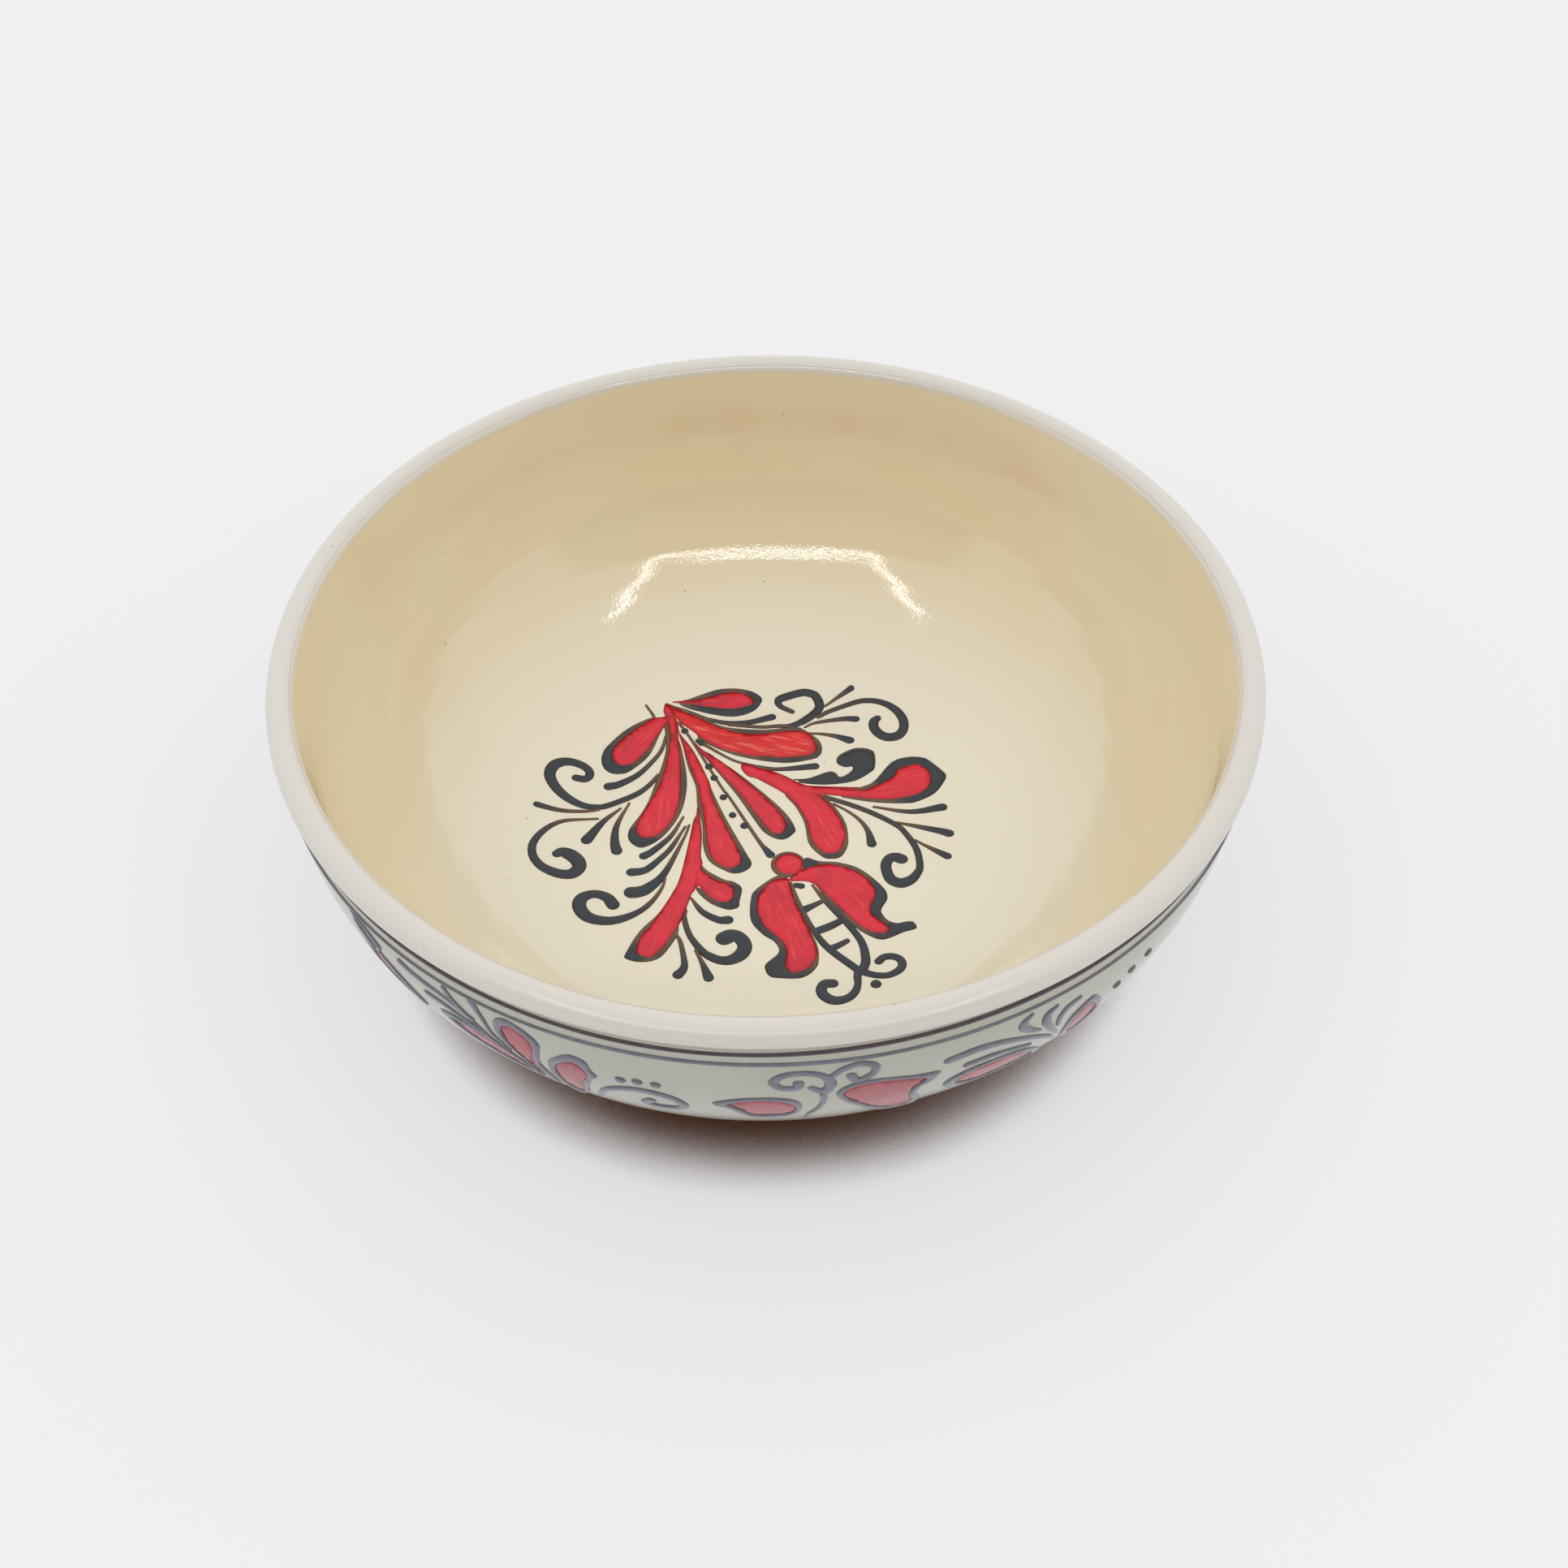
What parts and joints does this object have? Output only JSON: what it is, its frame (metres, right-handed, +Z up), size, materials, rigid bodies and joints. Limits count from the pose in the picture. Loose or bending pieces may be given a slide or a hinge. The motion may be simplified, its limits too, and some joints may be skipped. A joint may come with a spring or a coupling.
{
  "type": "painted bowl",
  "caption": "Round footed earthenware bowl with a rolled rim, glazed, with trailed dark line and red leaf ornament on the floor and round the outside.",
  "frame": {"origin": "centre of the foot ring at table level", "axes": "+Z up through the bowl's axis; -Y towards the front, which is the side nearest the tulip on the floor"},
  "size_m": [0.25, 0.25, 0.09],
  "materials": {
    "earthenware": "bare fired clay, matt",
    "liner_glaze": "glossy warm cream glaze",
    "white_slip": "satin off-white slip under clear glaze",
    "outer_glaze": "glossy pale ivory glaze",
    "dark_slip": "glossy blue-black trailed slip, brown where thin",
    "red_paint": "glossy brushed red",
    "outer_dark_slip": "glossy grey-black trailed slip",
    "outer_red": "glossy brushed red, paler under the ivory glaze"
  },
  "bodies": {
    "root": {"bottom_leaf_outline": "dark_slip", "bottom_leaf_red": "red_paint", "clay_body": "earthenware", "foot_ring": "earthenware", "hub_ticks": "dark_slip", "inner_glaze": "liner_glaze", "left_leaf_outline": "dark_slip", "left_leaf_red": "red_paint", "left_scrolls": "dark_slip", "left_twigs": "dark_slip", "lower_right_leaf_outline": "dark_slip", "lower_right_leaf_red": "red_paint", "lower_ring_line": "outer_dark_slip", "lower_scrolls": "dark_slip", "lower_twigs": "dark_slip", "middle_leaf_outline": "dark_slip", "middle_leaf_red": "red_paint", "outer_dots": "outer_dark_slip", "outer_glaze": "outer_glaze", "outer_leaf_outlines": "outer_dark_slip", "outer_leaf_reds": "outer_red", "outer_scrolls": "outer_dark_slip", "outer_twigs": "outer_dark_slip", "right_branch_red": "red_paint", "right_curl": "dark_slip", "right_leaf_outline": "dark_slip", "right_leaf_red": "red_paint", "right_scroll": "dark_slip", "right_twigs": "dark_slip", "side_leaf_outline": "dark_slip", "side_leaf_red": "red_paint", "slim_leaf_outline": "dark_slip", "slim_leaf_red": "red_paint", "stem_beads": "dark_slip", "stem_line": "dark_slip", "top_leaf_outline": "dark_slip", "top_leaf_red": "red_paint", "tulip_curls": "dark_slip", "tulip_dot": "dark_slip", "tulip_knob_outline": "dark_slip", "tulip_knob_red": "red_paint", "tulip_ladder": "dark_slip", "tulip_left_petal_outline": "dark_slip", "tulip_left_petal_red": "red_paint", "tulip_right_petal_outline": "dark_slip", "tulip_right_petal_red": "red_paint", "upper_left_leaf_outline": "dark_slip", "upper_left_leaf_red": "red_paint", "upper_right_leaf_outline": "dark_slip", "upper_right_leaf_red": "red_paint", "upper_ring_line": "outer_dark_slip", "upper_scrolls": "dark_slip", "upper_twigs": "dark_slip", "white_rim_band": "white_slip"}
  },
  "joints": []
}
